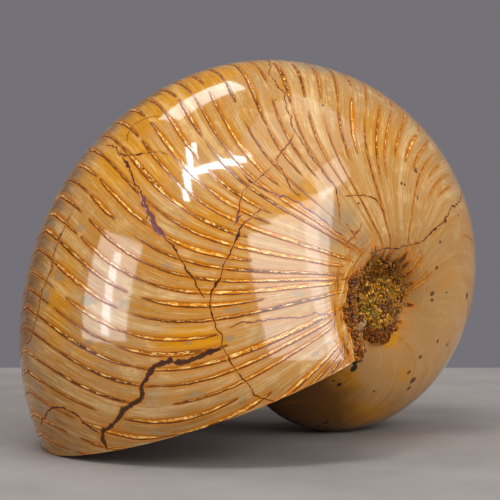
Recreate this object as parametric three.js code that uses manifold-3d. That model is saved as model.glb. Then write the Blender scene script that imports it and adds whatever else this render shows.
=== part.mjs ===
// Polished fossil nautilus, one solid piece of stone. Millimetres, +Z up.
// The shell coils in the XZ plane about an axis along Y, and its cut aperture faces down
// under the left end. The piece rests on the lip of the aperture and on its inner whorl.

import * as THREE from 'three';
import { ParametricGeometry } from 'three/addons/geometries/ParametricGeometry.js';
import { mergeVertices } from 'three/addons/utils/BufferGeometryUtils.js';
import Module from 'manifold-3d';

// Driving dimensions

const TURN = 2 * Math.PI;

const apertureRadius = 130; // coil axis to the venter at the aperture, without the lip's curl
const growthRate = [0.113, -0.007, 0.001]; // ln(radius) per radian, its square and its cube
const lipCurl = 0.032; // how far the lip turns in, as a share of the radius
const lipReach = 0.22; // radians of growth over which the lip turns in
const cutAngle = THREE.MathUtils.degToRad(203.7); // direction of the aperture's cut face
const cutOffset = 3.8; // the cut face passes this far below the coil axis

// Whorl section, as shares of the whorl's radius
const shoulderRadius = 0.322; // where the whorl is widest, measured from the coil axis
const halfWidth = 0.629; // half of the greatest width
const flankHollow = 0.08; // flattens the flanks towards the venter
const venterSquareness = 1.144; // power of the cosine that shapes the outer curve
const rimRadius = 0.185; // edge of the crystals that fill the umbilicus
const rimHalfWidth = 0.549; // the same edge, measured from the middle plane
const wallPower = 3; // how late the umbilical wall drops away

// The umbilicus is filled with crystals, in a dome that also fills out the inner whorl
const fillHeight = 46.5; // top of the dome, measured from the middle plane
const fillRoundness = 0.75; // power that shapes the dome's sides
const blendPower = 12; // how sharply the dome and the whorl meet

// Where the coil axis stands above the surface, and how deep the two resting places are ground
const axisX = 23.3;
const axisHeight = 53.2;

// Facets
const growthSteps = 76;
const flankSteps = 15; // venter to shoulder, on each side
const wallSteps = 8; // shoulder to rim, on each side
const floorSteps = 3; // rim to the coil axis, on each side
const sideSteps = flankSteps + wallSteps + floorSteps;

// Whorl radius at a growth angle, which is 0 at the aperture and negative further back
function whorlRadius(growth) {
  const logRadius = growthRate.reduce((sum, rate, power) => sum + rate * growth ** (power + 1), 0);
  return apertureRadius * Math.exp(logRadius) * (1 - lipCurl * Math.exp(growth / lipReach));
}

// Distance from the coil axis and from the middle plane, step by step from venter to axis
function whorlPoint(step, radius) {
  if (step <= flankSteps) {
    const swing = (step / flankSteps) * (Math.PI / 2);
    const outward = Math.cos(swing) ** venterSquareness;
    const hollow = flankHollow * Math.sin(2 * swing) * Math.cos(swing) ** 3;
    return [
      radius * (shoulderRadius + (1 - shoulderRadius) * outward),
      radius * halfWidth * (Math.sin(swing) - hollow),
    ];
  }
  const wall = Math.min((step - flankSteps) / wallSteps, 1);
  const edge = [
    radius * THREE.MathUtils.lerp(shoulderRadius, rimRadius, wall),
    radius * THREE.MathUtils.lerp(halfWidth, rimHalfWidth, wall ** wallPower),
  ];
  const floor = Math.max((step - flankSteps - wallSteps) / floorSteps, 0);
  return [edge[0] * (1 - floor), edge[1] * (1 - floor)];
}

function sectionPoint(step, radius) {
  const [reach, width] = whorlPoint(step, radius);
  const fill = fillHeight * Math.max(1 - (reach / radius) ** 2, 0) ** fillRoundness;
  return [reach, (width ** blendPower + fill ** blendPower) ** (1 / blendPower)];
}

// Each growth stage is a flat section whose plane passes a little below the coil axis.
// The last strip of the grid joins the aperture to the first stage: it is the cut face.
function shellPoint(around, along, target) {
  const stage = Math.round(along * (growthSteps + 1)) % (growthSteps + 1);
  const growth = TURN * (stage / growthSteps - 1);
  const sideStep = Math.round(around * 2 * sideSteps) - sideSteps;
  const [reach, width] = sectionPoint(Math.abs(sideStep), whorlRadius(growth));
  const lean = reach > cutOffset ? Math.asin(cutOffset / reach) : 0;
  const angle = cutAngle + growth + lean;
  target.set(reach * Math.cos(angle), Math.sign(sideStep) * width, reach * Math.sin(angle));
}

// Closed solids for the boolean library, and back

const wasm = await Module();
wasm.setup();

function solidFrom(geometry) {
  const bare = geometry.clone();
  bare.deleteAttribute('normal');
  bare.deleteAttribute('uv');
  const merged = mergeVertices(bare, 1e-4);
  const corners = merged.getIndex().array;
  const kept = [];
  for (let i = 0; i < corners.length; i += 3) {
    const [a, b, c] = corners.slice(i, i + 3);
    if (a !== b && b !== c && c !== a) kept.push(a, b, c);
  }
  return new wasm.Manifold(
    new wasm.Mesh({
      numProp: 3,
      vertProperties: new Float32Array(merged.getAttribute('position').array),
      triVerts: new Uint32Array(kept),
    }),
  );
}

function geometryFrom(solid) {
  const mesh = solid.getMesh();
  const geometry = new THREE.BufferGeometry();
  geometry.setAttribute('position', new THREE.BufferAttribute(mesh.vertProperties, 3));
  geometry.setIndex(new THREE.BufferAttribute(mesh.triVerts, 1));
  geometry.computeVertexNormals();
  return geometry;
}

// The shell, ground flat where it stands

const coil = new ParametricGeometry(shellPoint, 2 * sideSteps, growthSteps + 1);
coil.translate(axisX, 0, axisHeight);

const roomSize = 4 * apertureRadius;
const aboveSurface = new THREE.BoxGeometry(roomSize, roomSize, roomSize);
aboveSurface.translate(0, 0, roomSize / 2);

const shell = new THREE.Mesh(
  geometryFrom(solidFrom(coil).intersect(solidFrom(aboveSurface))),
  new THREE.MeshStandardMaterial({ color: 0xc8a06e, roughness: 0.15, metalness: 0 }),
);
shell.name = 'nautilus_fossil';

const group = new THREE.Group();
group.add(shell);

export default group;
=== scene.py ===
"""Polished fossil nautilus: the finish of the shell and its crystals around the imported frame.

Lengths are in metres unless they say millimetres. The shell coils about an axis along Y. A place
on it is given by its growth, an angle that is 0 at the aperture and negative further back, and
by its place across the whorl: 0 on the outer curve, 1 on the shoulder, 2 on the edge of the
crystals and 3 on the coil axis, negative on the -Y side.
"""

import math
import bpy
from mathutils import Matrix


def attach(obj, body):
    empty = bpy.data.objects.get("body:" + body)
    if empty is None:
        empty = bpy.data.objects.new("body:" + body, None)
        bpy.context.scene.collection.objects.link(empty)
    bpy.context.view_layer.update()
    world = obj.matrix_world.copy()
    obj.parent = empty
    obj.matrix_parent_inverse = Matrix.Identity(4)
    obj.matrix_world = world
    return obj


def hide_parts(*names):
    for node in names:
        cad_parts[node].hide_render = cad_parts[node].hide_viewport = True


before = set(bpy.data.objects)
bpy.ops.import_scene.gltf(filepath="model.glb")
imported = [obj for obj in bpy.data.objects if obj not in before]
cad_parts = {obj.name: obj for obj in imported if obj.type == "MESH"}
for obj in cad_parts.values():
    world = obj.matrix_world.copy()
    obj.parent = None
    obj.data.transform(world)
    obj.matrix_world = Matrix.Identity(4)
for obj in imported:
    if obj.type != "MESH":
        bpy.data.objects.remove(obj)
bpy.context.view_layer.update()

from types import SimpleNamespace

import bpy
import numpy as np
from bpy.props import FloatProperty, FloatVectorProperty, IntProperty, PointerProperty
from mathutils import Matrix, Vector
from mathutils.kdtree import KDTree

bl_info = {
    "name": "Fossil nautilus",
    "version": (1, 0, 0),
    "blender": (4, 5, 0),
    "location": "View3D > Sidebar > Nautilus",
    "description": "A polished fossil nautilus with its crystals, on a plain stage",
    "category": "Add Mesh",
}

BODY = "root"
NODE = "nautilus_fossil"
TURN = 2 * math.pi
SMOOTH_ANGLE = math.radians(40)

# The coil, as in the frame

APERTURE_RADIUS = 0.130
GROWTH_RATE = (0.113, -0.007, 0.001)
LIP_CURL = 0.032
LIP_REACH = 0.22
CUT_ANGLE = math.radians(203.7)
CUT_OFFSET = 0.0038
AXIS = Vector((0.0233, 0.0, 0.0532))

SHOULDER_RADIUS = 0.322
HALF_WIDTH = 0.629
FLANK_HOLLOW = 0.08
VENTER_SQUARENESS = 1.144
RIM_RADIUS = 0.185
RIM_HALF_WIDTH = 0.549
WALL_POWER = 3
FILL_HEIGHT = 0.0465
FILL_ROUNDNESS = 0.75
BLEND_POWER = 12

# Steps of the fine mesh across half a whorl: outer curve to shoulder, to the crystals, to axis
FLANK_STEPS = 60
WALL_STEPS = 18
FLOOR_STEPS = 4

# Its rings along the coil: the plain ones at both ends, those of one rib, where 0 is its crest,
# and the shares of the rounded lip and of the cut face
LEAD_STEPS = 7
TAIL_STEPS = 3
RING_PHASES = (-0.3, -0.16, -0.08, 0.0, 0.08, 0.16, 0.3, 0.5)
LIP_STEPS = (0.25, 0.5, 0.75)
CUT_STEPS = (0.0, 0.02, 0.06, 0.1, 0.16, 0.24, 0.34, 0.46, 0.6, 0.75, 0.88, 1.0)
PROBE = 0.002
SWEEP_ROUNDS = 12
LIP_ROUNDING = 0.0011
GROOVE_DEPTH = 0.00003
GROOVE_HALF_WIDTH = 0.9  # millimetres

MERGE_DISTANCE = 1e-6
CUT_PRECISION = 1e-7
# A face with this many corners or more is one of the ground flats
FLAT_CORNERS = 7
SHEET_MARGIN = 0.004

# The far side's markings are the near side's, mirrored and moved this far along the coil
FAR_STAINS = 0.8
FAR_UMBER = 0.3
FAR_CRACKS = -0.9
FAR_DOTS = -0.6
LOOSE_DOTS = 26
DOT_SOFTNESS = 1.3
NO_DOT = 9.0
RIB_SEED = 41
DOT_SEED = 5

# Growth of the clearest ribs where they cross the shoulder
RIBS = (-0.07, -0.13, -0.20, -0.26, -0.315, -0.37, -0.44, -0.505, -0.56, -0.62, -0.68, -0.735,
        -0.80, -0.86, -0.92, -0.98, -1.037, -1.10, -1.15, -1.205, -1.275, -1.355, -1.42, -1.495,
        -1.565, -1.64, -1.72, -1.79, -1.865, -1.94, -2.0, -2.08, -2.17)

# Cracks on the -Y side: half width in millimetres, tint, and (growth, across) from end to end.
# Tint 0 is blue-black, 0.5 dark brown and 1 purple-brown. Cracks in one group never cross.
CRACKS = (
    (
        (0.30, 0.1, ((-1.79, -0.02), (-1.75, -0.15), (-1.71, -0.22), (-1.67, -0.28), (-1.65, -0.33),
            (-1.63, -0.41), (-1.585, -0.47), (-1.51, -0.58), (-1.49, -0.65), (-1.486, -0.72),
            (-1.495, -0.80), (-1.47, -0.83), (-1.42, -0.86), (-1.37, -0.89), (-1.30, -0.915))),
        (0.50, 0.9, ((-1.31, -0.975), (-1.275, -0.94), (-1.25, -0.89), (-1.23, -0.84),
            (-1.21, -0.79), (-1.185, -0.73), (-1.15, -0.70), (-1.14, -0.66))),
        (0.34, 0.9, ((-0.495, -1.10), (-0.505, -1.04), (-0.52, -0.95), (-0.505, -0.91),
            (-0.478, -0.88), (-0.472, -0.83), (-0.453, -0.78), (-0.434, -0.73), (-0.41, -0.68))),
        (1.45, 0.45, ((-0.33, -0.68), (-0.305, -0.63), (-0.285, -0.58), (-0.292, -0.53),
            (-0.26, -0.495), (-0.22, -0.47), (-0.162, -0.445), (-0.142, -0.40), (-0.117, -0.385),
            (-0.09, -0.345), (-0.065, -0.31), (-0.013, -0.305))),
        (0.34, 0.0, ((-1.46, -1.50), (-1.61, -1.61), (-1.81, -1.64), (-2.12, -1.61), (-2.36, -1.43),
            (-2.50, -1.26), (-2.56, -1.10), (-2.59, -1.01), (-2.675, -0.94), (-2.725, -0.87),
            (-2.775, -0.77), (-2.80, -0.68), (-2.845, -0.62), (-2.865, -0.54), (-2.885, -0.46),
            (-2.90, -0.38))),
    ),
    (
        (0.26, 0.2, ((-1.51, -0.83), (-1.53, -0.84), (-1.63, -0.855), (-1.735, -0.865),
            (-1.825, -0.885), (-1.875, -0.91), (-1.91, -0.945), (-1.93, -0.97))),
        (0.34, 0.3, ((-1.50, -0.58), (-1.455, -0.60), (-1.40, -0.61), (-1.36, -0.613),
            (-1.30, -0.635), (-1.275, -0.67), (-1.245, -0.72), (-1.24, -0.77))),
        (0.38, 0.9, ((-1.57, -0.94), (-1.52, -0.97), (-1.475, -0.975), (-1.40, -0.98),
            (-1.31, -0.985), (-1.24, -0.985), (-1.18, -1.02))),
        (0.34, 0.4, ((-1.09, -0.695), (-1.0, -0.685), (-0.905, -0.665), (-0.83, -0.67),
            (-0.75, -0.663), (-0.65, -0.66), (-0.53, -0.64), (-0.40, -0.67), (-0.325, -0.68),
            (-0.26, -0.695), (-0.18, -0.715), (-0.08, -0.735), (-0.01, -0.78))),
        (0.30, 0.2, ((-0.78, -0.15), (-0.75, -0.135), (-0.67, -0.125), (-0.63, -0.125),
            (-0.57, -0.13), (-0.505, -0.10), (-0.44, -0.09), (-0.36, -0.04), (-0.35, 0.02))),
    ),
    (
        (0.32, 0.7, ((-1.27, -0.635), (-1.23, -0.635), (-1.16, -0.63), (-1.08, -0.62),
            (-1.0, -0.63), (-0.93, -0.645), (-0.90, -0.665))),
        (0.42, 0.7, ((-0.53, -0.635), (-0.595, -0.60), (-0.65, -0.57), (-0.71, -0.53),
            (-0.745, -0.49), (-0.775, -0.45), (-0.83, -0.41), (-0.867, -0.38), (-0.905, -0.34),
            (-0.957, -0.28), (-0.995, -0.23), (-1.02, -0.18))),
        (0.55, 0.45, ((-0.10, -0.01), (-0.13, -0.08), (-0.165, -0.15), (-0.15, -0.22),
            (-0.105, -0.27), (-0.065, -0.31))),
        (0.24, 0.8, ((-1.415, -1.15), (-1.405, -1.0), (-1.40, -0.99), (-1.38, -0.90))),
    ),
    (
        (0.26, 0.2, ((-1.06, -0.38), (-1.06, -0.34), (-1.035, -0.30), (-1.01, -0.25),
            (-1.003, -0.20), (-1.03, -0.12), (-1.035, -0.08))),
        (0.24, 0.3, ((-1.46, -0.66), (-1.43, -0.645), (-1.41, -0.62))),
        (0.24, 0.3, ((-1.20, -0.23), (-1.175, -0.17), (-1.14, -0.15), (-1.075, -0.17),
            (-1.05, -0.20))),
        (0.50, 0.7, ((-1.15, -0.70), (-1.13, -0.64), (-1.14, -0.58))),
        (1.50, 1.0, ((-0.88, -0.37), (-0.83, -0.41), (-0.785, -0.45), (-0.75, -0.49))),
        (1.10, 0.9, ((-0.965, -0.65), (-0.93, -0.645), (-0.89, -0.65))),
        (0.45, 0.4, ((-0.10, -0.01), (-0.075, -0.05), (-0.06, -0.08), (-0.03, -0.10))),
    ),
)

# Patches of colour on that side: growth, across, half sizes, strength
AMBER = (
    (-1.30, -0.16, 0.42, 0.12, 1.0),
    (-0.98, -0.22, 0.16, 0.14, 0.9),
    (-1.0, -0.35, 0.2, 0.12, 0.55),
    (-0.50, -0.20, 0.22, 0.07, 0.75),
    (-0.365, -0.60, 0.045, 0.075, 2.0),
    (-0.88, -0.57, 0.10, 0.08, 0.6),
    (-1.22, -0.74, 0.22, 0.08, 0.7),
    (-2.05, -0.62, 0.25, 0.16, 0.45),
    (-1.65, -0.45, 0.3, 0.16, 0.3),
    (-5.10, -0.42, 0.40, 0.16, 1.2),
    (-5.45, -0.70, 0.30, 0.12, 0.9),
    (-4.55, -0.75, 0.14, 0.10, 0.55),
    (-4.72, -1.50, 0.28, 0.42, 1.5),
    (-0.32, -0.30, 0.12, 0.06, 0.4),
)
GREY = (
    (-1.30, -0.90, 0.30, 0.10, 0.8),
    (-1.40, -1.15, 0.35, 0.25, 0.7),
    (-1.28, -0.72, 0.10, 0.06, 0.6),
    (-0.25, -0.05, 0.35, 0.10, 0.5),
    (-0.85, -0.04, 0.3, 0.06, 0.5),
    (-0.20, -0.48, 0.10, 0.05, 0.5),
    (-1.95, -0.22, 0.22, 0.10, 0.6),
    (-0.30, -0.78, 0.20, 0.06, 0.5),
    (-2.2, -0.12, 0.4, 0.12, 0.5),
    (-1.75, -0.55, 0.1, 0.1, 0.35),
)
# Darker brown patches, given as the patches of colour are: partly dark stone, partly painted shade
# on the underside near the table and at the lip
UMBER_AND_SHADE = (
    (-5.60, -0.25, 0.65, 0.45, 1.4),
    (-5.00, 0.05, 0.60, 0.40, 1.1),
    (-4.70, -0.50, 0.30, 0.20, 0.35),
    (-5.9, -0.8, 0.5, 0.5, 0.5),
    (-5.20, -1.75, 0.42, 0.42, 1.7),
    (-0.10, -0.10, 0.30, 0.22, 0.5),
    (-0.05, -0.60, 0.12, 0.35, 0.5),
    (-0.50, 0.0, 0.4, 0.10, 0.7),
    (-0.9, 0.02, 0.4, 0.08, 0.6),
)
# Round spots: growth, across, and size in millimetres
DOTS = (
    (-3.48, -0.968, 0.9), (-3.58, -0.958, 0.7), (-3.49, -0.845, 0.6), (-3.13, -0.938, 0.8),
    (-2.79, -0.775, 1.0), (-2.885, -0.87, 0.7), (-2.90, -0.65, 0.7), (-3.547, -0.618, 1.3),
    (-3.99, -0.635, 0.9), (-2.365, -0.825, 0.8), (-2.16, -0.805, 0.8), (-2.325, -0.71, 1.1),
    (-4.465, -0.638, 1.3), (-4.515, -0.582, 1.0), (-4.30, -0.78, 0.8), (-4.50, -0.73, 0.9),
    (-2.20, -0.805, 0.7), (-1.62, -0.88, 0.6), (-4.96, -0.67, 0.6), (-4.03, -0.75, 0.8),
)
# Sooty patches, given as the patches of colour are
BLACK = (
    (-5.50, -0.87, 0.085, 0.040, 1.0),
    (-5.44, -0.82, 0.060, 0.035, 1.0),
    (-5.456, -0.663, 0.030, 0.022, 1.0),
    (-5.555, -0.66, 0.018, 0.018, 0.9),
    (-5.22, -0.29, 0.02, 0.05, 0.9),
    (-5.15, -0.19, 0.02, 0.05, 0.9),
    (-5.24, -0.20, 0.03, 0.03, 0.8),
    (-4.98, -0.20, 0.05, 0.03, 0.7),
)

# The stage: the camera looks level along VIEW, apart from a small rise, and the table's far edge
# lies square to it
VIEW = Vector((0.4771, 0.8788, 0.0))
VIEW_RISE = Vector((0, 0, 0.0001))
CAMERA_PLACE = (-0.2456, -0.4422, 0.0761)
CAMERA_LENS = 88.98
TABLE_EDGE = 0.297
TABLE_DEPTH = 1.9
TABLE_WIDTH = 3.0
TABLE_THICKNESS = 0.04
TABLE_ROUNDING = 0.003
TABLE_COLOURS = ((136, 126, 118), (170, 159, 150))
BACKDROP = (116, 114, 119)
LIGHT_DISTANCE = 4.0
LIGHT_CENTRE = Vector((0, 0, 0.07))
LIGHT_COLOUR = (0.88, 0.97, 1.06)

# Soft lights: name, azimuth and rise, angles across and up, all in degrees, and glow
WINDOWS = (
    ("left_window", -85, 15, 22, 36, 4.2),
    ("left_core", -84, 14, 4, 28, 6.0),
    ("front_window", 14, 16, 48, 50, 4.1),
    ("front_core", 28, 14, 9, 42, 2.4),
    ("cap_window", 42, 42, 14, 12, 3.0),
    ("back_top", 185, 69, 24, 11, 4.4),
    ("overhead", 40, 66, 50, 34, 1.0),
)
# Thin lights: name, azimuth and rise of both ends and the angle across, in degrees, and glow
STRIPS = (
    ("tall_strip", (-84, 72), (-56, 50), 2.4, 28.0),
    ("wide_strip", (-66, 59), (-12, 67), 2.6, 45.0),
)


def smooth_step(value, low, high):
    """0 below low and 1 above high, with a smooth rise between them."""
    share = np.clip((value - low) / (high - low), 0, 1)
    return share * share * (3 - 2 * share)


def whorl_radius(growth):
    """Distance from the coil axis to the outer curve."""
    log_radius = sum(rate * growth ** (power + 1) for power, rate in enumerate(GROWTH_RATE))
    return APERTURE_RADIUS * np.exp(log_radius) * (1 - LIP_CURL * np.exp(growth / LIP_REACH))


def section(across, radius):
    """Distance from the coil axis and from the middle plane at a place across the whorl."""
    swing = np.clip(across, 0, 1) * math.pi / 2
    outward = np.maximum(np.cos(swing), 0) ** VENTER_SQUARENESS
    hollow = FLANK_HOLLOW * np.sin(2 * swing) * np.cos(swing) ** 3
    wall = np.clip(across - 1, 0, 1)
    floor = np.clip(across - 2, 0, 1)
    reach = SHOULDER_RADIUS + (1 - SHOULDER_RADIUS) * outward
    reach = np.where(across > 1, SHOULDER_RADIUS + (RIM_RADIUS - SHOULDER_RADIUS) * wall, reach)
    width = HALF_WIDTH * (np.sin(swing) - hollow)
    drop = (RIM_HALF_WIDTH - HALF_WIDTH) * wall ** WALL_POWER
    width = np.where(across > 1, HALF_WIDTH + drop, width)
    reach, width = reach * (1 - floor), width * (1 - floor)
    fill = FILL_HEIGHT / radius * np.maximum(1 - reach ** 2, 0) ** FILL_ROUNDNESS
    width = (width ** BLEND_POWER + fill ** BLEND_POWER) ** (1 / BLEND_POWER)
    return reach * radius, width * radius


def shell_point(growth, across):
    """The point of the smooth shell at a growth and a place across it."""
    growth, across = np.broadcast_arrays(np.asarray(growth, float), np.asarray(across, float))
    reach, width = section(np.abs(across), whorl_radius(growth))
    lean = np.arcsin(np.clip(CUT_OFFSET / np.maximum(reach, CUT_OFFSET), 0, 1))
    lean = np.where(reach > CUT_OFFSET, lean, 0)
    angle = CUT_ANGLE + growth + lean
    x = AXIS.x + reach * np.cos(angle)
    y = np.sign(across) * width
    z = AXIS.z + reach * np.sin(angle)
    return np.stack([x, y, z], -1)


def unit(vectors):
    """The same directions, each one long."""
    return vectors / np.maximum(np.linalg.norm(vectors, axis=-1, keepdims=True), 1e-12)


def shell_normal(growth, across, step=1e-3):
    """The outward direction of the smooth shell."""
    along = shell_point(growth + step, across) - shell_point(growth - step, across)
    over = shell_point(growth, across + step) - shell_point(growth, across - step)
    return unit(np.cross(over, along))


def rib_sweep(growth, across):
    """How far a rib lies ahead of its crest's growth at a place across the whorl."""
    side = np.abs(across)
    crest = np.clip(0.56 - 0.17 * (growth + 0.5), 0.56, 0.85)
    outside = np.maximum(crest - side, 0)
    inside = np.maximum(np.minimum(side, 1) - crest, 0)
    wall = np.clip(side - 1, 0, 1)
    swing = 0.22 + 0.10 * np.clip(-growth - 0.8, 0, 1.5)
    turned = swing * (1 - np.exp(-((outside / 0.36) ** 2)))
    return -turned - 1.4 * inside ** 2 - 0.22 * wall


def rib_growths(pitch, rng):
    """The growth of every rib, from beyond the aperture to before the first stage."""
    growths = [RIBS[0]]
    while growths[0] < 0.6:
        growths.insert(0, growths[0] + pitch / APERTURE_RADIUS * rng.uniform(0.86, 1.14))
    growths += list(RIBS[1:])
    while growths[-1] > -TURN - 0.6:
        radius = float(whorl_radius(max(growths[-1], -TURN)))
        growths.append(growths[-1] - pitch / radius * rng.uniform(0.86, 1.14))
    return np.array(growths)


def lens(value, start, end):
    """A rise and fall between two places, blunt in the middle and pointed at its ends."""
    share = np.clip((value - start) / (end - start), 0, 1)
    return np.sin(share * math.pi) ** 0.6


def soft_patches(patches, growth, across):
    """The strongest of several soft oval patches at each place."""
    total = np.zeros_like(growth)
    for at_growth, at_across, long, wide, strength in patches:
        off = ((growth - at_growth) / long) ** 2 + ((across - at_across) / wide) ** 2
        total = np.maximum(total, strength * np.exp(-off))
    return total


def both_sides(patches, growth, across, shift):
    """The same, with the patches also mirrored to the far side and moved along the coil."""
    return np.maximum(soft_patches(patches, growth, across),
                      soft_patches(patches, growth + shift, -across))


def smooth_line(points, steps=24):
    """Many points on a smooth curve through a few points."""
    points = np.array(points, float)
    ends = np.vstack([2 * points[0] - points[1], points, 2 * points[-1] - points[-2]])
    share = np.linspace(0, 1, steps, endpoint=False)[:, None]
    parts = []
    for index in range(1, len(ends) - 2):
        before, start, end, after = ends[index - 1:index + 3]
        parts.append(0.5 * (2 * start + (end - before) * share
                            + (2 * before - 5 * start + 4 * end - after) * share ** 2
                            + (3 * start - before - 3 * end + after) * share ** 3))
    return np.vstack(parts + [points[-1:]])


def crack_layer(cracks, places):
    """Millimetres to one side of the nearest crack, its half width there, and its colour."""
    samples, sides, widths, tints = [], [], [], []
    for half_width, tint, points in cracks:
        line = smooth_line(points)
        spots = shell_point(line[:, 0], line[:, 1])
        run = np.gradient(spots, axis=0)
        outward = shell_normal(line[:, 0], line[:, 1])
        length = np.concatenate([[0], np.cumsum(np.linalg.norm(np.diff(spots, axis=0), axis=1))])
        from_end = np.minimum(length, length[-1] - length)
        samples.append(spots)
        sides.append(unit(np.cross(outward, run)))
        widths.append(half_width * smooth_step(from_end, -0.0006, 0.004))
        tints.append(np.full(len(spots), tint))
    samples, sides = np.vstack(samples), np.vstack(sides)
    widths, tints = np.concatenate(widths), np.concatenate(tints)
    tree = KDTree(len(samples))
    for index, spot in enumerate(samples):
        tree.insert(spot, index)
    tree.balance()
    found = np.array([tree.find(place)[1:] for place in places.tolist()])
    nearest, away = found[:, 0].astype(int), found[:, 1] * 1000
    offset = ((places - samples[nearest]) * sides[nearest]).sum(1) * 1000
    # Past a crack's end the nearest point is the end itself, so the crack fades there
    beside = smooth_step(np.abs(offset) / np.maximum(away, 1e-6), 0.3, 0.8)
    near = 1 - smooth_step(away, 2.5, 4.0)
    close = 1 - smooth_step(away, 0.25, 0.7)
    width = widths[nearest] * near * np.maximum(beside, close)
    return np.stack([offset, width, tints[nearest]], 1)


class Coil:
    """The grid of places that the shell's mesh follows, and the pattern on them."""

    def __init__(self, settings):
        rng = np.random.default_rng(settings.seed)
        self.ribs = rib_growths(settings.rib_pitch, rng)
        crests = self.ribs[(self.ribs < 0.1) & (self.ribs > -TURN - 0.1)]
        middles = (crests[:-1] + crests[1:]) / 2
        columns = []
        for index, crest in enumerate(crests[1:-1], 1):
            ahead, behind = middles[index - 1], middles[index]
            for phase in RING_PHASES:
                span = (ahead - crest) if phase < 0 else (crest - behind)
                columns.append(crest - 2 * phase * span)
        columns = [column for column in columns if -TURN + 0.02 < column < -0.02]
        lead = np.linspace(0, columns[0], LEAD_STEPS + 1)[:-1]
        tail = np.linspace(columns[-1], -TURN, TAIL_STEPS + 1)[1:]
        self.columns = np.concatenate([lead, columns, tail])
        rows = np.concatenate([
            np.linspace(0, 1, FLANK_STEPS + 1)[:-1],
            np.linspace(1, 2, WALL_STEPS + 1)[:-1],
            np.linspace(2, 3, FLOOR_STEPS + 1),
        ])
        self.rows = np.concatenate([-rows[:0:-1], rows])

    def size(self):
        """Vertices of the grid along the coil, with the cut face, and across it."""
        return len(LIP_STEPS) + len(CUT_STEPS) + len(self.columns), len(self.rows)

    def shell(self):
        """Growth and place across for the shell's share of the grid."""
        column, row = np.meshgrid(self.columns, self.rows, indexing="ij")
        front = smooth_step(-column, 0, 0.35)
        back = smooth_step(column + TURN, 0, 1.7)
        growth = column + front * back * rib_sweep(column, row)
        return np.clip(growth, -TURN, 0), row

    def rib_pattern(self, growth, across):
        """Rib phase, the nearest rib's number and millimetres between ribs at each place."""
        crest = growth - rib_sweep(growth, across)
        for _ in range(SWEEP_ROUNDS):
            crest = growth - rib_sweep(np.minimum(crest, 0), across)
        number = np.arange(len(self.ribs), dtype=float)
        phase = np.interp(-crest, -self.ribs, number)
        rib = np.clip(np.round(phase).astype(int), 0, len(self.ribs) - 1)
        step = np.interp(-crest, -self.ribs[:-1], -np.diff(self.ribs))
        ahead = shell_point(growth + PROBE, across) - shell_point(growth - PROBE, across)
        ahead = ahead / (2 * PROBE)
        along = self.rib_direction(growth, crest, across)
        square = np.sqrt(np.maximum((ahead ** 2).sum(-1) - (ahead * along).sum(-1) ** 2, 1e-12))
        return phase, rib, square * step * 1000

    @staticmethod
    def rib_direction(growth, crest, across):
        """The direction of the rib through each place."""
        crest = np.minimum(crest, 0)
        over, under = across + 2 * PROBE, across - 2 * PROBE
        sweep = rib_sweep(crest, over) - rib_sweep(crest, under)
        return unit(shell_point(growth + sweep / 2, over) - shell_point(growth - sweep / 2, under))

    def rib_widths(self, rib, growth, across):
        """Half width of the rib line in millimetres, in pointed stretches with gaps between."""
        count = len(self.ribs)
        rng = np.random.default_rng(RIB_SEED)
        width = np.zeros_like(growth)
        primary = rng.random(count) < 0.66
        # On each side a rib has a stretch on the flank, one outside it and one over the curve
        for sign in (-1, 1):
            side = across * sign
            top = np.where(primary, rng.uniform(1.1, 1.5, count), rng.uniform(0.66, 0.80, count))
            fan = (self.ribs > -3.3) & (self.ribs < -1.6) & primary
            top = np.where(fan, rng.uniform(2.0, 2.3, count), top)
            gap = rng.uniform(0.38, 0.52, count)
            flank = rng.uniform(0.45, 0.95, count)
            stretch = lens(side, gap[rib], top[rib]) * flank[rib]
            start = gap - rng.uniform(-0.05, 0.08, count)
            finish = rng.uniform(0.08, 0.26, count)
            outer = rng.uniform(0.30, 0.85, count)
            stretch = np.maximum(stretch, lens(side, finish[rib], start[rib]) * outer[rib])
            start = finish + rng.uniform(-0.05, 0.04, count)
            curve = rng.uniform(0.30, 0.80, count)
            stretch = np.maximum(stretch, lens(side, -0.16, start[rib]) * curve[rib])
            width = np.maximum(width, np.where(side > -0.16, stretch, 0))
        # Fainter on the earlier part of the whorl, and thinner on its inner flank
        young = smooth_step(growth, -3.0, -2.25)
        young = np.maximum(young, smooth_step(np.abs(across), 0.95, 1.1)
                           * smooth_step(growth, -3.6, -3.2))
        early = 0.1 + 0.5 * np.sin(rib * 2.7)
        width = width * (young + (1 - young) * np.clip(early, 0, 1) * 0.5)
        smooth = smooth_step(np.abs(across), 0.62, 0.85) * (1 - smooth_step(growth, -1.45, -0.95))
        fan = smooth_step(np.abs(across), 1.05, 1.2) * (1 - smooth_step(growth, -2.5, -2.1))
        thin = 1 - np.where(rib % 3 == 0, 0.35, 0.85) * smooth * (1 - fan)
        return width * thin * (1 - 0.25 * (1 - smooth_step(growth, -1.5, -0.9)))

    def places(self):
        """Points of the shell and of its cut face, and the shell's values for its material."""
        growth, across = self.shell()
        points = shell_point(growth, across)
        phase, rib, pitch = self.rib_pattern(growth, across)
        width = self.rib_widths(rib, growth, across)
        # A groove along each rib, shallower than it is wide
        offset = np.abs(phase - rib) * pitch
        edge = smooth_step(-growth, 0.0, 0.02) * smooth_step(growth + TURN, 0, 0.1)
        groove = GROOVE_DEPTH * np.exp(-((offset / GROOVE_HALF_WIDTH) ** 2))
        groove = groove * np.clip(width / 0.5, 0, 1) * edge
        calm = 1 - smooth_step(np.abs(across), 1.9, 2.0)
        points = points - shell_normal(growth, across) * (groove * calm)[..., None]
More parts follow.
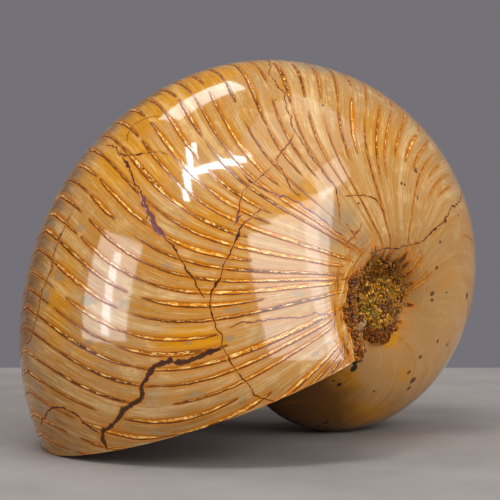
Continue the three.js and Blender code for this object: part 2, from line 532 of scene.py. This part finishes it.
        # The lip is rounded between the shell's side and the cut face
        first, last = points[0], points[-1]
        inward = last - first
        gap = np.linalg.norm(inward, axis=-1, keepdims=True)
        soft = np.minimum(LIP_ROUNDING, gap * 0.15)
        toward = inward / np.maximum(gap, 1e-9)
        back = unit(shell_point(np.full_like(self.rows, -0.01), self.rows) - first)
        points[0] = first + back * soft
        shares = np.linspace(0, 1, LEAD_STEPS + 1)[1:-1, None, None]
        points[1:LEAD_STEPS] = points[0] + (points[LEAD_STEPS] - points[0]) * shares
        start, finish = points[0], first + toward * soft
        cut = [(1 - share) ** 2 * start + 2 * share * (1 - share) * first + share ** 2 * finish
               for share in LIP_STEPS]
        cut += [finish + (last - finish) * share for share in CUT_STEPS]
        # From the first stage's ring back to the lip, which the shell's own rings then follow
        return points, np.stack(cut[::-1]), growth, across, phase, pitch, width


def deselect():
    if bpy.context.mode != "OBJECT":
        bpy.ops.object.mode_set(mode="OBJECT")
    bpy.ops.object.select_all(action="DESELECT")


def store(mesh, name, values, kind="FLOAT_VECTOR"):
    """Puts one value or one vector per vertex on a mesh, for its material."""
    attribute = mesh.attributes.new(name, kind, "POINT")
    field = "vector" if kind == "FLOAT_VECTOR" else "value"
    attribute.data.foreach_set(field, np.asarray(values, np.float32).ravel())


def vertex_points(mesh):
    """The places of a mesh's vertices, one row each."""
    points = np.empty(len(mesh.vertices) * 3)
    mesh.vertices.foreach_get("co", points)
    return points.reshape(-1, 3)


def linear(red, green, blue):
    """A shader colour from the usual 0 to 255 values."""
    tones = [value / 255 for value in (red, green, blue)]
    tones = [tone / 12.92 if tone <= 0.04045 else ((tone + 0.055) / 1.055) ** 2.4
             for tone in tones]
    return (*tones, 1.0)


class Wire:
    """A shader value that arithmetic can be written with."""

    def __init__(self, paint, socket):
        self.paint = paint
        self.socket = socket

    def maths(self, operation, *others):
        """Adds a Math node that starts with this value."""
        return self.paint.node("Math", {"operation": operation}, [self, *others])

    def __add__(self, other):
        return self.maths("ADD", other)

    def __sub__(self, other):
        return self.maths("SUBTRACT", other)

    def __mul__(self, other):
        return self.maths("MULTIPLY", other)

    def __rsub__(self, other):
        return self.paint.node("Math", {"operation": "SUBTRACT"}, [other, self])

    def __abs__(self):
        return self.maths("ABSOLUTE")

    __radd__ = __add__
    __rmul__ = __mul__


class Paint:
    """A node material, and one way to add a node to it."""

    def __init__(self, name):
        self.material = bpy.data.materials.new(name)
        self.material.use_nodes = True
        self.tree = self.material.node_tree
        self.surface = self.tree.nodes["Principled BSDF"]
        self.coat = None

    def node(self, kind, settings, inputs, output=0):
        """Adds a node, sets it and its inputs, and gives one of its outputs."""
        node = self.tree.nodes.new("ShaderNode" + kind)
        for name, value in settings.items():
            setattr(node, name, value)
        pairs = inputs.items() if isinstance(inputs, dict) else enumerate(inputs)
        for key, value in pairs:
            self.connect(node.inputs[key], value)
        return Wire(self, node.outputs[output])

    def connect(self, socket, value):
        """Links a shader value to a socket, or sets a plain one on it."""
        if isinstance(value, Wire):
            self.tree.links.new(value.socket, socket)
        else:
            socket.default_value = value

    def set(self, **values):
        """Sets or links the surface's own sockets, by their names."""
        for name, value in values.items():
            title = name.replace("_", " ").title().replace("Ior", "IOR")
            self.connect(self.surface.inputs[title], value)

    def step(self, value, low, high):
        inputs = {"Value": value, "From Min": low, "From Max": high}
        return self.node("MapRange", {"interpolation_type": "SMOOTHSTEP"}, inputs)

    def mix(self, share, first, second):
        """The first colour at share 0 and the second at share 1."""
        return self.node("Mix", {"data_type": "RGBA"}, {0: share, 6: first, 7: second}, 2)

    def lay(self, share, colour):
        """Lays a colour over those that are already there."""
        self.coat = self.mix(share, self.coat, colour)

    def noise(self, vector, scale, detail, roughness=0.55, distortion=0.0):
        """Soft random values around 0.5."""
        inputs = {"Vector": vector, "Scale": scale, "Detail": detail,
                  "Roughness": roughness, "Distortion": distortion}
        return self.node("TexNoise", {}, inputs)

    def vector(self, x, y):
        return self.node("CombineXYZ", {}, [x, y])

    def field(self, name):
        return self.node("Attribute", {"attribute_name": name}, [], "Fac")

    def parts(self, name):
        """The three values of a vector that the mesh holds."""
        source = self.node("Attribute", {"attribute_name": name}, [], "Vector")
        return [self.node("SeparateXYZ", {}, [source], index) for index in range(3)]

    def millimetres(self):
        place = self.node("TexCoord", {}, [], "Object")
        return self.node("VectorMath", {"operation": "SCALE"}, {0: place, "Scale": 1000.0})


def shader_colours(colours):
    """Every colour of the group as a shader colour, under the same name."""
    names = FossilColours.__annotations__
    return SimpleNamespace(**{name: linear(*getattr(colours, name)) for name in names})


def fossil_paint(colours):
    """Polished fossil shell: tan stone with ribs, cracks, stains and spots, some patches partly
    painted shade and pale rib crystals partly painted glints.
    """
    paint = Paint("polished_fossil_shell")
    step, mix, lay = paint.step, paint.mix, paint.lay
    noise, vector = paint.noise, paint.vector
    tone = shader_colours(colours)
    place = paint.millimetres()
    growth, across, face = paint.parts("place")
    phase, pitch, width = paint.parts("rib")
    # The stain's third value is the darker brown patches, partly painted shade
    amber, grey, brown = paint.parts("stain")
    black = paint.field("soot")
    spot = paint.field("spot")

    wobble = noise(place, 0.22, 2.0) - 0.5
    number = phase + wobble * 0.12
    rib = paint.node("Math", {"operation": "FRACT"}, [number + 0.5]) - 0.5
    grain = vector(phase, across * 1.1)
    streaks = noise(grain, 7.0, 4.0, 0.6, 0.3)
    fine = noise(grain, 24.0, 3.0, 0.65)
    cloud = noise(place, 0.022, 3.0, 0.5)
    mottle = noise(place, 0.12, 4.0, 0.6)
    speck = noise(place, 1.3, 2.0, 0.6)
    streak, blotch, dust = streaks - 0.5, mottle - 0.5, speck - 0.5

    # Clouds and streaks of the stone; the honey patches on the older whorl and the dark brown
    # patches are partly painted shade
    paint.coat = mix(step(cloud, 0.35, 0.65), tone.tan, tone.peach)
    youth = step(growth, -3.3, -2.2) * 0.75 + 0.25
    lay(step(mottle, 0.52, 0.72) * youth * 0.5, tone.cream)
    # Honey patches on the older part of the whorl: partly the stone's colour, partly painted shade
    shadow = step(noise(place, 0.045, 4.0, 0.6), 0.50, 0.66) * (1 - youth)
    lay(shadow * 0.55, tone.honey)
    warmth = step(amber + streak * 0.9 + blotch * 0.7, 0.15, 0.75)
    lay(warmth * 0.85, tone.amber)
    tier = noise(vector(phase * 0.8, across * 0.9), 1.3, 2.0, 0.5)
    lay(step(tier, 0.5, 0.7) * youth * 0.55, tone.honey)
    lay((1 - step(tier, 0.3, 0.5)) * youth * 0.4, tone.cream)
    lay(step(streaks, 0.47, 0.68) * youth * 0.75, tone.honey)
    lay((1 - step(streaks, 0.32, 0.46)) * youth * 0.4, tone.cream)
    lay(step(fine, 0.54, 0.68) * youth * 0.4, tone.umber)
    rich = step(amber + blotch * 0.5, 0.95, 1.35)
    lay(rich * 0.8, tone.amber)
    # Darker brown patches: partly dark stone, partly painted shade on the underside and at the lip
    umber_and_shade = step(brown + blotch * 0.6 + streak * 0.4, 0.15, 0.85)
    lay(umber_and_shade * 0.82, tone.umber)

    # Grey ovals and stains
    ovals = vector(growth * 9.0, across * 7.0)
    cell = paint.node("TexVoronoi", {}, {"Vector": ovals, "Scale": 1.6, "Randomness": 1.0})
    shade = paint.node("TexVoronoi", {}, {"Vector": ovals, "Scale": 1.6}, "Color")
    chosen = step(paint.node("SeparateColor", {}, [shade]), 0.56, 0.58)
    oval = (1 - step(cell + blotch * 1.1, 0.20, 0.30)) * chosen
    lay(oval * step(growth, -1.6, -0.3) * 0.7, tone.grey)
    greyness = step(grey + blotch * 0.7, 0.25, 0.75)
    lay(greyness * 0.75, tone.grey)

    # Ribs: a stain beside each, pale crystals in it that are partly painted glints, and a dark line
    # at its edges that is partly painted shade
    strength = step(width, 0.04, 0.20)
    ragged = (fine - 0.5) * 0.55 + dust * 0.4
    beside = rib * pitch + ragged
    offset = abs(beside)
    halo = (1 - step(offset, width * 0.8, width * 2.2 + 0.9)) * strength
    lay(halo * 0.85, tone.halo)
    # Pale crystals along the rib, partly their own colour and partly painted glints: a painted
    # highlight
    sparkle = noise(vector(phase * 3.0, across * 16.0), 2.0, 3.0, 0.75)
    glint = step(sparkle + dust * 0.3, 0.47, 0.60)
    gold = mix(glint * 0.85, tone.ember, tone.glint)
    deep = step(noise(grain, 1.7, 3.0, 0.65), 0.50, 0.60)
    gold = mix(deep * (1 - glint), gold, tone.rib)
    fill = (1 - step(offset, width * 0.6, width * 1.1)) * strength
    lay(fill * 0.95, gold)
    # The dark edge is painted fainter on the lit side of the rib: painted shade on the other side
    lit_side = step(beside, -0.2, 0.4)
    edge = 1 - step(abs(offset - width * 0.95), 0.12, 0.42)
    later = step(growth, -2.4, -1.3) * 0.5 + 0.5
    core = edge * strength * (1 - lit_side * 0.55) * later
    lay(core * 0.95, tone.rib)

    # Rusty strands and flames down the wall, and a dark bed under the crystals
    side = abs(across)
    flames = noise(vector(growth, across * 0.05), 7.0, 3.0, 0.7) - 0.5
    strands = noise(vector(growth * 0.35, across), 9.0, 4.0, 0.65, 0.5)
    late = step(growth, -1.7, -1.1) * 0.85 + 0.15
    wall_zone = step(side + flames * 0.4, 0.98, 1.12) * late
    lay(wall_zone * step(strands, 0.40, 0.56) * 0.8, tone.halo)
    lay(wall_zone * step(strands, 0.54, 0.62) * 0.85, tone.rib)
    lay(wall_zone * (1 - step(strands, 0.34, 0.42)) * 0.5, tone.glint)
    reach = side + flames * 1.9 + step(brown, 0.3, 1.2) * 0.35
    near = step(side, 1.02, 1.2)
    flame = step(reach, 1.45, 1.75) * near
    lay(flame * 0.75, tone.ember)
    flame = step(reach + dust * 0.3, 1.70, 1.90) * near
    lay(flame * 0.9, tone.rib)
    bed = step(side + dust * 0.8, 1.75, 1.95)
    grit = mix(step(speck, 0.42, 0.6), tone.crystal_dark, tone.crystal)
    lay(bed * 0.95, grit)

    # Cracks with uneven edges, and the stain beside them
    jagged = wobble * 3.6
    uneven = noise(place, 0.30, 1.5, 0.6) * 1.9 - 0.12
    depth = core * 0.6
    for layer in range(1, len(CRACKS) + 1):
        beside, wide, tint = paint.parts(f"crack_{layer}")
        away = abs(beside + jagged)
        wide = wide * uneven
        present = step(wide, 0.03, 0.15)
        line = (1 - step(away, wide * 0.5, wide * 0.95 + 0.05)) * present
        border = (1 - step(away, wide, wide * 2 + 1.2)) * present
        filling = mix(step(tint, 0.0, 0.5), tone.crack, tone.seam)
        filling = mix(step(tint, 0.6, 1.0), filling, tone.vein)
        lay(border * 0.45, tone.halo)
        lay(line * 0.92, filling)
        depth = depth + line

    soot = step(black + blotch * 0.5, 0.45, 0.55)
    lay(soot * 0.95, tone.black)
    mark = 1 - step(spot + dust * 0.6, 0.7, 1.15)
    lay(mark * 0.85, tone.spot)

    # The cut face: veined stone inside the shell's own thickness
    matrix = mix(step(mottle, 0.4, 0.65), tone.matrix, tone.matrix_dark)
    veins = noise(place, 0.06, 4.0, 0.6, 1.2)
    vein = 1 - step(abs(veins - 0.5), 0.004, 0.02)
    matrix = mix(vein * 0.6, matrix, tone.cream)
    wall = 1 - step(face, 2.2, 2.6)
    matrix = mix(wall, matrix, tone.honey)
    inside = step(face, 0.35, 0.5)
    lay(inside, matrix)

    rough = 0.07 + core * 0.22 + blotch * 0.03 + bed * 0.6
    height = streak * 0.03 - depth * 0.35 * (1 - inside) + speck * bed * 2
    bump = paint.node("Bump", {}, {"Strength": 0.35, "Distance": 0.0002, "Height": height})
    paint.set(base_color=paint.coat, roughness=rough, normal=bump, ior=1.55)
    return paint.material


def crystal_paint(colours):
    """Small glittering brown crystals with pale and dark ones among them."""
    paint = Paint("brown_crystals")
    step, mix, noise = paint.step, paint.mix, paint.noise
    tone = shader_colours(colours)
    place = paint.millimetres()
    kind = paint.field("tone")
    patch = noise(place, 0.18, 3.0, 0.6)
    colour = mix(step(kind, 0.0, 0.8), tone.crystal_dark, tone.crystal)
    colour = mix(step(kind, 0.86, 0.97), colour, tone.crystal_pale)
    colour = mix(step(patch, 0.5, 0.62) * 0.7, colour, tone.crystal_dark)
    colour = mix(1 - step(patch, 0.36, 0.46), colour, tone.crystal_green)
    # Rusty crystals have tones from -2 to -1
    rust = mix(step(kind, -2.0, -1.0), tone.rust_dark, tone.rust)
    colour = mix(1 - step(kind, -0.6, -0.4), colour, rust)
    paint.set(base_color=colour, roughness=0.38, ior=1.5, specular_ior_level=0.35)
    return paint.material


def swatch(name, description, red, green, blue):
    return FloatVectorProperty(name=name, description=description, size=3, min=0, max=255,
                               default=(red, green, blue))


class FossilColours(bpy.types.PropertyGroup):
    """Colours of the stone and its markings, as the usual 0 to 255 values."""

    tan: swatch("Tan", "Main colour of the stone", 166, 124, 74)
    peach: swatch("Peach", "Warmer cloudy areas", 176, 132, 82)
    cream: swatch("Cream", "Pale streaks", 214, 182, 130)
    honey: swatch("Honey", "Darker golden streaks", 174, 116, 30)
    # Umber is also the colour of the painted shade in the darker brown patches
    umber: swatch("Umber", "Darkest streaks and areas", 98, 60, 18)
    amber: swatch("Amber", "Saturated stains", 194, 130, 8)
    grey: swatch("Grey", "Grey-brown stains", 142, 120, 92)
    halo: swatch("Halo", "Stain beside ribs and cracks", 180, 108, 8)
    ember: swatch("Ember", "Orange band in each rib", 196, 116, 8)
    rib: swatch("Rib", "Dark lines in the ribs", 92, 44, 4)
    # Glint: pale crystals in the ribs, partly their own colour and partly painted highlight
    glint: swatch("Glint", "Pale crystals in the ribs", 246, 204, 124)
    crack: swatch("Crack", "Blue-black cracks", 40, 38, 36)
    seam: swatch("Seam", "Dark brown cracks", 52, 22, 14)
    vein: swatch("Vein", "Purple-brown veins", 104, 62, 68)
    black: swatch("Black", "Sooty patches", 30, 34, 26)
    spot: swatch("Spot", "Small round spots", 82, 46, 22)
    matrix: swatch("Matrix", "Stone in the aperture", 176, 140, 100)
    matrix_dark: swatch("Dark matrix", "Darker stone there", 128, 92, 60)
    crystal: swatch("Crystal", "Crystals at the coil axis", 182, 124, 26)
    crystal_dark: swatch("Dark crystal", "Darkest of them", 92, 54, 8)
    rust: swatch("Rust", "Rusty crystals at the edge", 150, 88, 16)
    rust_dark: swatch("Dark rust", "Darkest of those", 82, 42, 6)
    crystal_green: swatch("Olive crystal", "Olive parts", 132, 108, 36)
    crystal_pale: swatch("Pale crystal", "Palest of them", 226, 176, 82)


class FossilShape(bpy.types.PropertyGroup):
    """Sizes of the details on the shell."""

    seed: IntProperty(name="Seed", description="Start of the random choices", default=7)
    rib_pitch: FloatProperty(name="Rib pitch", description="Distance between ribs, outside",
                             default=0.0079, unit="LENGTH")
    crystal_size: FloatProperty(name="Crystal size", description="Length of a typical crystal",
                                default=0.0017, unit="LENGTH")
    crystal_count: IntProperty(name="Crystals", description="Crystals on each side",
                               default=3000)
    patch_radius: FloatProperty(name="Crystal patch", default=1.0, unit="NONE",
                                description="Reach of the crystals, as a share of the hollow")


class NAUTILUS_OT_shell(bpy.types.Operator):
    """Add the polished shell with its ribs, cracks and flat aperture"""

    bl_idname = "nautilus.shell"
    bl_label = "Polished shell"

    def execute(self, context):
        coil = Coil(context.scene.fossil_shape)
        long, wide = coil.size()
        deselect()
        bpy.ops.mesh.primitive_grid_add(x_subdivisions=long - 1, y_subdivisions=wide - 1,
                                        size=2, calc_uvs=True)
        piece = context.active_object
        piece.name = piece.data.name = "fossil_shell"
        flat = vertex_points(piece.data)
        column = np.rint((flat[:, 0] + 1) / 2 * (long - 1)).astype(int)
        row = np.rint((flat[:, 1] + 1) / 2 * (wide - 1)).astype(int)

        points, cut, growth, across, phase, pitch, width = coil.places()
        every = np.concatenate([cut, points])
        count = len(cut)

        def pad(values, fill=None):
            """Adds the cut face's share in front of the values of the shell."""
            start = np.repeat(values[:1], count, 0) if fill is None else fill
            return np.concatenate([start, values])

        def keep(name, *fields):
            """Stores one or three fields of the grid, each value on its own vertex."""
            values = np.stack(fields, -1)[column, row]
            store(piece.data, name, values, "FLOAT" if len(fields) == 1 else "FLOAT_VECTOR")

        # Millimetres into the cut face, past the rounded lip
        reach = np.linalg.norm(cut - points[:1], axis=-1) * 1000
        face = pad(np.zeros_like(growth), np.maximum(reach - 1.0, 0.0))
        piece.data.vertices.foreach_set("co", every[column, row].ravel())
        keep("place", pad(growth), pad(across), face)
        keep("rib", pad(phase), pad(pitch), pad(width))

        amber = both_sides(AMBER, growth, across, FAR_STAINS)
        grey = both_sides(GREY, growth, across, FAR_STAINS)
        # Darker brown patches, partly painted shade on the underside and at the lip
        brown = both_sides(UMBER_AND_SHADE, growth, across, FAR_UMBER)
        keep("stain", pad(amber), pad(grey), pad(brown))
        keep("soot", pad(both_sides(BLACK, growth, across, FAR_STAINS)))
        keep("spot", pad(self.spots(growth, points)))
        for layer, cracks in enumerate(CRACKS, 1):
            far = [(half_width, tint, [(at + FAR_CRACKS, -side) for at, side in line])
                   for half_width, tint, line in cracks]
            sheet = crack_layer([*cracks, *far], points.reshape(-1, 3))
            keep(f"crack_{layer}", *pad(sheet.reshape(points.shape)).transpose(2, 0, 1))

        self.lay_sheet(piece.data, every, column, row)

        bpy.ops.object.mode_set(mode="EDIT")
        bpy.ops.mesh.select_all(action="SELECT")
        bpy.ops.mesh.remove_doubles(threshold=MERGE_DISTANCE)
        bpy.ops.mesh.normals_make_consistent(inside=False)
        # The two flats that the shell rests on, level with the table
        bpy.ops.mesh.bisect(plane_co=(0, 0, 0), plane_no=(0, 0, 1), use_fill=True,
                            clear_inner=True, threshold=CUT_PRECISION)
        bpy.ops.object.mode_set(mode="OBJECT")
        self.lay_flats(piece.data)
        bpy.ops.object.shade_smooth_by_angle(angle=SMOOTH_ANGLE)
        piece.data.materials.append(fossil_paint(context.scene.fossil_colours))
        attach(piece, BODY)
        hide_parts(NODE)
        return {"FINISHED"}

    @staticmethod
    def lay_sheet(mesh, every, column, row):
        """Spreads the grid over one UV sheet, in proportion to its lengths both ways."""
        shares = []
        for way in (0, 1):
            steps = np.linalg.norm(np.diff(every, axis=way), axis=-1).mean(1 - way)
            length = np.concatenate([[0], np.cumsum(steps)])
            shares.append(SHEET_MARGIN + (1 - 2 * SHEET_MARGIN) * length / length[-1])
        corners = np.empty(len(mesh.loops), int)
        mesh.loops.foreach_get("vertex_index", corners)
        sheet = mesh.uv_layers.active
        sheet.name = "OFBake"
        places = np.stack([shares[0][column[corners]], shares[1][row[corners]]], -1)
        sheet.data.foreach_set("uv", places.astype(np.float32).ravel())

    @staticmethod
    def lay_flats(mesh):
        """Gives the ground flats the UVs of the shell around them."""
        sheet = mesh.uv_layers["OFBake"].data
        flats = [face for face in mesh.polygons if len(face.vertices) >= FLAT_CORNERS]
        wanted = {vertex for face in flats for vertex in face.vertices}
        known = {}
        for face in mesh.polygons:
            if len(face.vertices) >= FLAT_CORNERS:
                continue
            for vertex, corner in zip(face.vertices, face.loop_indices):
                if vertex in wanted:
                    known[vertex] = sheet[corner].uv.copy()
        for face in flats:
            for vertex, corner in zip(face.vertices, face.loop_indices):
                sheet[corner].uv = known[vertex]

    @staticmethod
    def spots(growth, points):
        """Distance to the nearest round spot, as a share of its size."""
        rng = np.random.default_rng(DOT_SEED)
        nearest = np.full(growth.shape, NO_DOT)
        marks = list(DOTS)
        marks += [(at + FAR_DOTS + rng.uniform(-0.3, 0.3), -side + rng.uniform(-0.1, 0.1), size)
                  for at, side, size in DOTS]
        marks += [(rng.uniform(-3.2, -0.1), rng.uniform(-0.9, 0.9), rng.uniform(0.4, 0.8))
                  for _ in range(LOOSE_DOTS)]
        for at, side, size in marks:
            away = np.linalg.norm(points - shell_point(at, side), axis=-1) * 1000
            nearest = np.minimum(nearest, away / (size * DOT_SOFTNESS))
        return nearest


class NAUTILUS_OT_crystals(bpy.types.Operator):
    """Add the crystals that fill the middle of the coil on both sides"""

    bl_idname = "nautilus.crystals"
    bl_label = "Crystals"

    def execute(self, context):
        shape = context.scene.fossil_shape
        material = crystal_paint(context.scene.fossil_colours)
        for sign, side in ((-1, "near"), (1, "far")):
            deselect()
            seed = self.crystal()
            piece = self.spread(seed, shape, sign, np.random.default_rng(shape.seed + sign))
            piece.name = piece.data.name = f"crystals_{side}"
            piece.data.materials.append(material)
            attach(piece, BODY)
        return {"FINISHED"}

    @staticmethod
    def crystal():
        """One six-sided crystal with a blunt uneven tip, a unit long."""
        bpy.ops.mesh.primitive_cylinder_add(vertices=6, radius=0.4, depth=0.6)
        crystal = bpy.context.active_object
        bpy.ops.object.mode_set(mode="EDIT")
        bpy.ops.mesh.select_all(action="DESELECT")
        bpy.ops.object.mode_set(mode="OBJECT")
        for face in crystal.data.polygons:
            face.select = face.normal.z > 0.9
        bpy.ops.object.mode_set(mode="EDIT")
        bpy.ops.mesh.select_mode(type="FACE")
        bpy.ops.mesh.extrude_region_move(TRANSFORM_OT_translate={"value": (0.06, 0.04, 0.3)})
        bpy.ops.transform.resize(value=(0.35, 0.5, 1))
        bpy.ops.object.mode_set(mode="OBJECT")
        return crystal

    @staticmethod
    def spread(seed, shape, sign, rng):
        """Copies of one crystal over the dome at the axis, joined into one piece."""
        crystal = vertex_points(seed.data)
        sides = [list(face.vertices) for face in seed.data.polygons]
        bpy.data.objects.remove(seed)
        points, faces, tones = [], [], []
        golden = math.pi * (3 - math.sqrt(5))
        for index in range(shape.crystal_count):
            turn = (index * golden) % TURN
            growth = (turn - CUT_ANGLE) % TURN - TURN
            rim = float(whorl_radius(growth)) * RIM_RADIUS
            # The patch reaches furthest to the left and below
            below = max(-math.sin(turn), 0) ** 6
            ragged = 1.04 + 0.05 * math.sin(5 * turn + 1) + 0.05 * math.sin(13 * turn)
            left = max(-math.cos(turn), 0) ** 2
            right = max(math.cos(turn), 0) ** 2
            bulge = 0.34 * below + 0.40 * left - 0.10 * right
            radius = rim * (ragged + bulge) * shape.patch_radius
            radius *= math.sqrt((index + 0.5) / shape.crystal_count)
            radius += rng.normal(0, 0.0003)
            across = 3 - radius / rim
            if across < 2:
                step = RIM_RADIUS / (SHOULDER_RADIUS - RIM_RADIUS)
                across = 2 - (radius / rim - 1) * step
            spot = shell_point(growth, across * sign)
            tilt = shell_normal(growth, across * sign)
            lean = Vector(tilt) + Vector(rng.normal(0, 0.5, 3))
            spin = lean.to_track_quat("Z", "Y").to_matrix()
            size = shape.crystal_size * rng.uniform(0.6, 1.25)
            stretch = np.array([rng.uniform(0.7, 1.1), rng.uniform(0.7, 1.1), 1.1]) * size
            placed = (crystal * stretch) @ np.array(spin).T + spot
            first = index * len(crystal)
            points.append(placed)
            faces += [[first + corner for corner in face] for face in sides]
            # Rusty crystals have tones from -2 to -1: they lie at the edge, more of them below
            edge = radius / rim - 1.02 + 0.25 * below + rng.normal(0, 0.10)
            tones += [rng.random() - (2 if edge > 0 else 0)] * len(crystal)
        mesh = bpy.data.meshes.new("crystals")
        mesh.from_pydata(np.concatenate(points).tolist(), [], faces)
        store(mesh, "tone", tones, "FLOAT")
        piece = bpy.data.objects.new("crystals", mesh)
        bpy.context.scene.collection.objects.link(piece)
        return piece


class NAUTILUS_OT_stage(bpy.types.Operator):
    """Add the floor, the backdrop, the lights and the camera"""

    bl_idname = "nautilus.stage"
    bl_label = "Stage"

    def execute(self, context):
        scene = context.scene
        scene.view_settings.view_transform = "Standard"
        scene.view_settings.look = "Medium High Contrast"
        self.floor()
        self.camera(scene)
        world = bpy.data.worlds.new("studio")
        world.use_nodes = True
        sky = world.node_tree.nodes["Background"]
        sky.inputs["Color"].default_value = linear(*BACKDROP)
        scene.world = world
        for settings in WINDOWS:
            self.window(*settings)
        for settings in STRIPS:
            self.strip(*settings)
        return {"FINISHED"}

    @staticmethod
    def floor():
        """A pale table top whose far edge lies square to the view."""
        deselect()
        bpy.ops.mesh.primitive_cube_add(size=1)
        floor = bpy.context.active_object
        floor.name = floor.data.name = "floor"
        floor.scale = (TABLE_WIDTH, TABLE_DEPTH, TABLE_THICKNESS)
        floor.location = VIEW * (TABLE_EDGE - TABLE_DEPTH / 2)
        floor.location.z = -TABLE_THICKNESS / 2
        floor.rotation_euler = (0, 0, math.atan2(VIEW.y, VIEW.x) - math.pi / 2)
        bpy.ops.object.transform_apply(location=True, rotation=True, scale=True)
        bpy.ops.object.mode_set(mode="EDIT")
        bpy.ops.mesh.select_all(action="SELECT")
        bpy.ops.mesh.bevel(offset=TABLE_ROUNDING, segments=3)
        bpy.ops.object.mode_set(mode="OBJECT")
        bpy.ops.object.shade_smooth_by_angle(angle=SMOOTH_ANGLE)
        paint = Paint("pale_floor")
        cloud = paint.noise(paint.millimetres(), 0.02, 6.0, 0.62)
        darker, paler = TABLE_COLOURS
        colour = paint.mix(cloud, linear(*darker), linear(*paler))
        paint.set(base_color=colour, roughness=0.9, specular_ior_level=0.15)
        floor.data.materials.append(paint.material)

    @staticmethod
    def camera(scene):
        data = bpy.data.cameras.new("camera")
        data.lens = CAMERA_LENS
        data.sensor_width = 36
        data.clip_start = 0.01
        camera = bpy.data.objects.new("camera", data)
        camera.location = CAMERA_PLACE
        aim = VIEW + VIEW_RISE
        camera.rotation_euler = aim.to_track_quat("-Z", "Y").to_euler()
        scene.collection.objects.link(camera)
        scene.camera = camera

    @staticmethod
    def window(name, azimuth, rise, wide, tall, glow):
        """A soft rectangular light that faces the shell."""
        away = direction(azimuth, rise)
        turn = away.to_track_quat("Z", "Y")
        lamp(name, away, turn, light_size(wide), light_size(tall), glow)

    @staticmethod
    def strip(name, start, finish, thick, glow):
        """A thin bright light between two directions."""
        first, last = direction(*start), direction(*finish)
        away = (first + last).normalized()
        run = (last - first).normalized()
        over = away.cross(run).normalized()
        turn = Matrix((run, over, away)).transposed().to_quaternion()
        long = (last - first).length * LIGHT_DISTANCE
        lamp(name, away, turn, long, light_size(thick), glow)


def direction(azimuth, rise):
    """A direction from the shell: azimuth 0 is -Y, -90 is -X, and rise is upwards."""
    turn, lift = math.radians(azimuth), math.radians(rise)
    return Vector((math.sin(turn) * math.cos(lift), -math.cos(turn) * math.cos(lift),
                   math.sin(lift)))


def light_size(angle):
    """The size of a light that looks this many degrees wide from the shell."""
    return 2 * LIGHT_DISTANCE * math.tan(math.radians(angle) / 2)


def lamp(name, away, turn, wide, tall, glow):
    """An area light whose brightness doesn't depend on its size."""
    data = bpy.data.lights.new(name, "AREA")
    data.shape = "RECTANGLE"
    data.size = wide
    data.size_y = tall
    data.energy = glow * math.pi * wide * tall
    data.color = LIGHT_COLOUR
    light = bpy.data.objects.new(name, data)
    light.location = LIGHT_CENTRE + away * LIGHT_DISTANCE
    light.rotation_euler = turn.to_euler()
    bpy.context.scene.collection.objects.link(light)


class NAUTILUS_PT_panel(bpy.types.Panel):
    """The pieces and their settings, in the sidebar"""

    bl_label = "Nautilus"
    bl_idname = "NAUTILUS_PT_panel"
    bl_space_type = "VIEW_3D"
    bl_region_type = "UI"
    bl_category = "Nautilus"

    def draw(self, context):
        for kind in OPERATORS:
            self.layout.operator(kind.bl_idname)
        for group in (context.scene.fossil_shape, context.scene.fossil_colours):
            for name in group.__annotations__:
                self.layout.prop(group, name)


OPERATORS = (NAUTILUS_OT_shell, NAUTILUS_OT_crystals, NAUTILUS_OT_stage)
CLASSES = (FossilColours, FossilShape, *OPERATORS, NAUTILUS_PT_panel)


def register():
    for kind in CLASSES:
        bpy.utils.register_class(kind)
    bpy.types.Scene.fossil_colours = PointerProperty(type=FossilColours)
    bpy.types.Scene.fossil_shape = PointerProperty(type=FossilShape)


def unregister():
    del bpy.types.Scene.fossil_shape
    del bpy.types.Scene.fossil_colours
    for kind in reversed(CLASSES):
        bpy.utils.unregister_class(kind)


def main():
    """Builds the pieces and the stage."""
    register()
    bpy.ops.nautilus.shell()
    bpy.ops.nautilus.crystals()
    bpy.ops.nautilus.stage()


if __name__ == "__main__":
    main()
